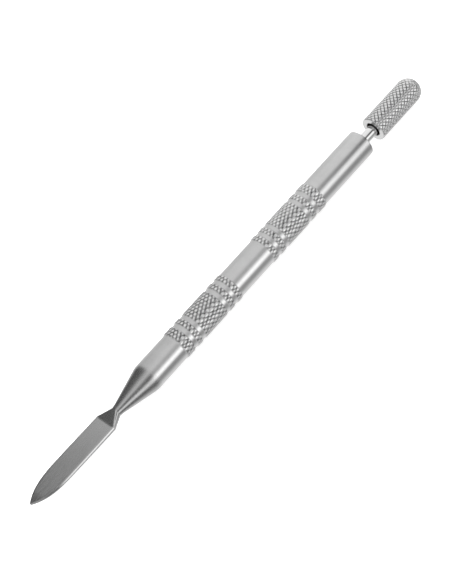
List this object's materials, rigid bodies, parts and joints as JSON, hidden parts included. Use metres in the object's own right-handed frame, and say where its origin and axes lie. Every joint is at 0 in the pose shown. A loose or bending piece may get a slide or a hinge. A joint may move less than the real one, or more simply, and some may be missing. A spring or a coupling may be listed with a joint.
{
  "type": "cuticle pusher",
  "caption": "Cuticle pusher: turned steel handle with knurled grips, a flat pointed blade on a cone at one end and a revolving knurled rasp head on a polished spindle at the other.",
  "frame": {"origin": "on the handle's axis, half way between the blade's tip and the end of the rasp head", "axes": "+X along the tool towards the rasp head, +Z along the normal of the blade's upper face, +Y across the blade"},
  "size_m": [0.1348, 0.0076, 0.0076],
  "materials": {
    "knurled_steel": "satin turned stainless with a diamond knurl on the raised bands",
    "ground_steel": "finely ground and satin polished stainless",
    "polished_steel": "mirror polished stainless",
    "bronze": "plain turned bronze",
    "turned_steel": "turned stainless",
    "rasp_steel": "satin stainless with a sharp diamond knurl"
  },
  "bodies": {
    "tool": {"handle": "knurled_steel", "pusher_blade": "ground_steel", "spindle": "polished_steel", "stop_collar": "turned_steel"},
    "head": {"rasp_head": "rasp_steel", "bearing_bush": "bronze"}
  },
  "joints": [
    {"name": "rasp_spin", "type": "hinge", "parent": "tool", "child": "head", "pos_m": [0.05355, 0, 0], "axis": [1, 0, 0], "continuous": true}
  ]
}
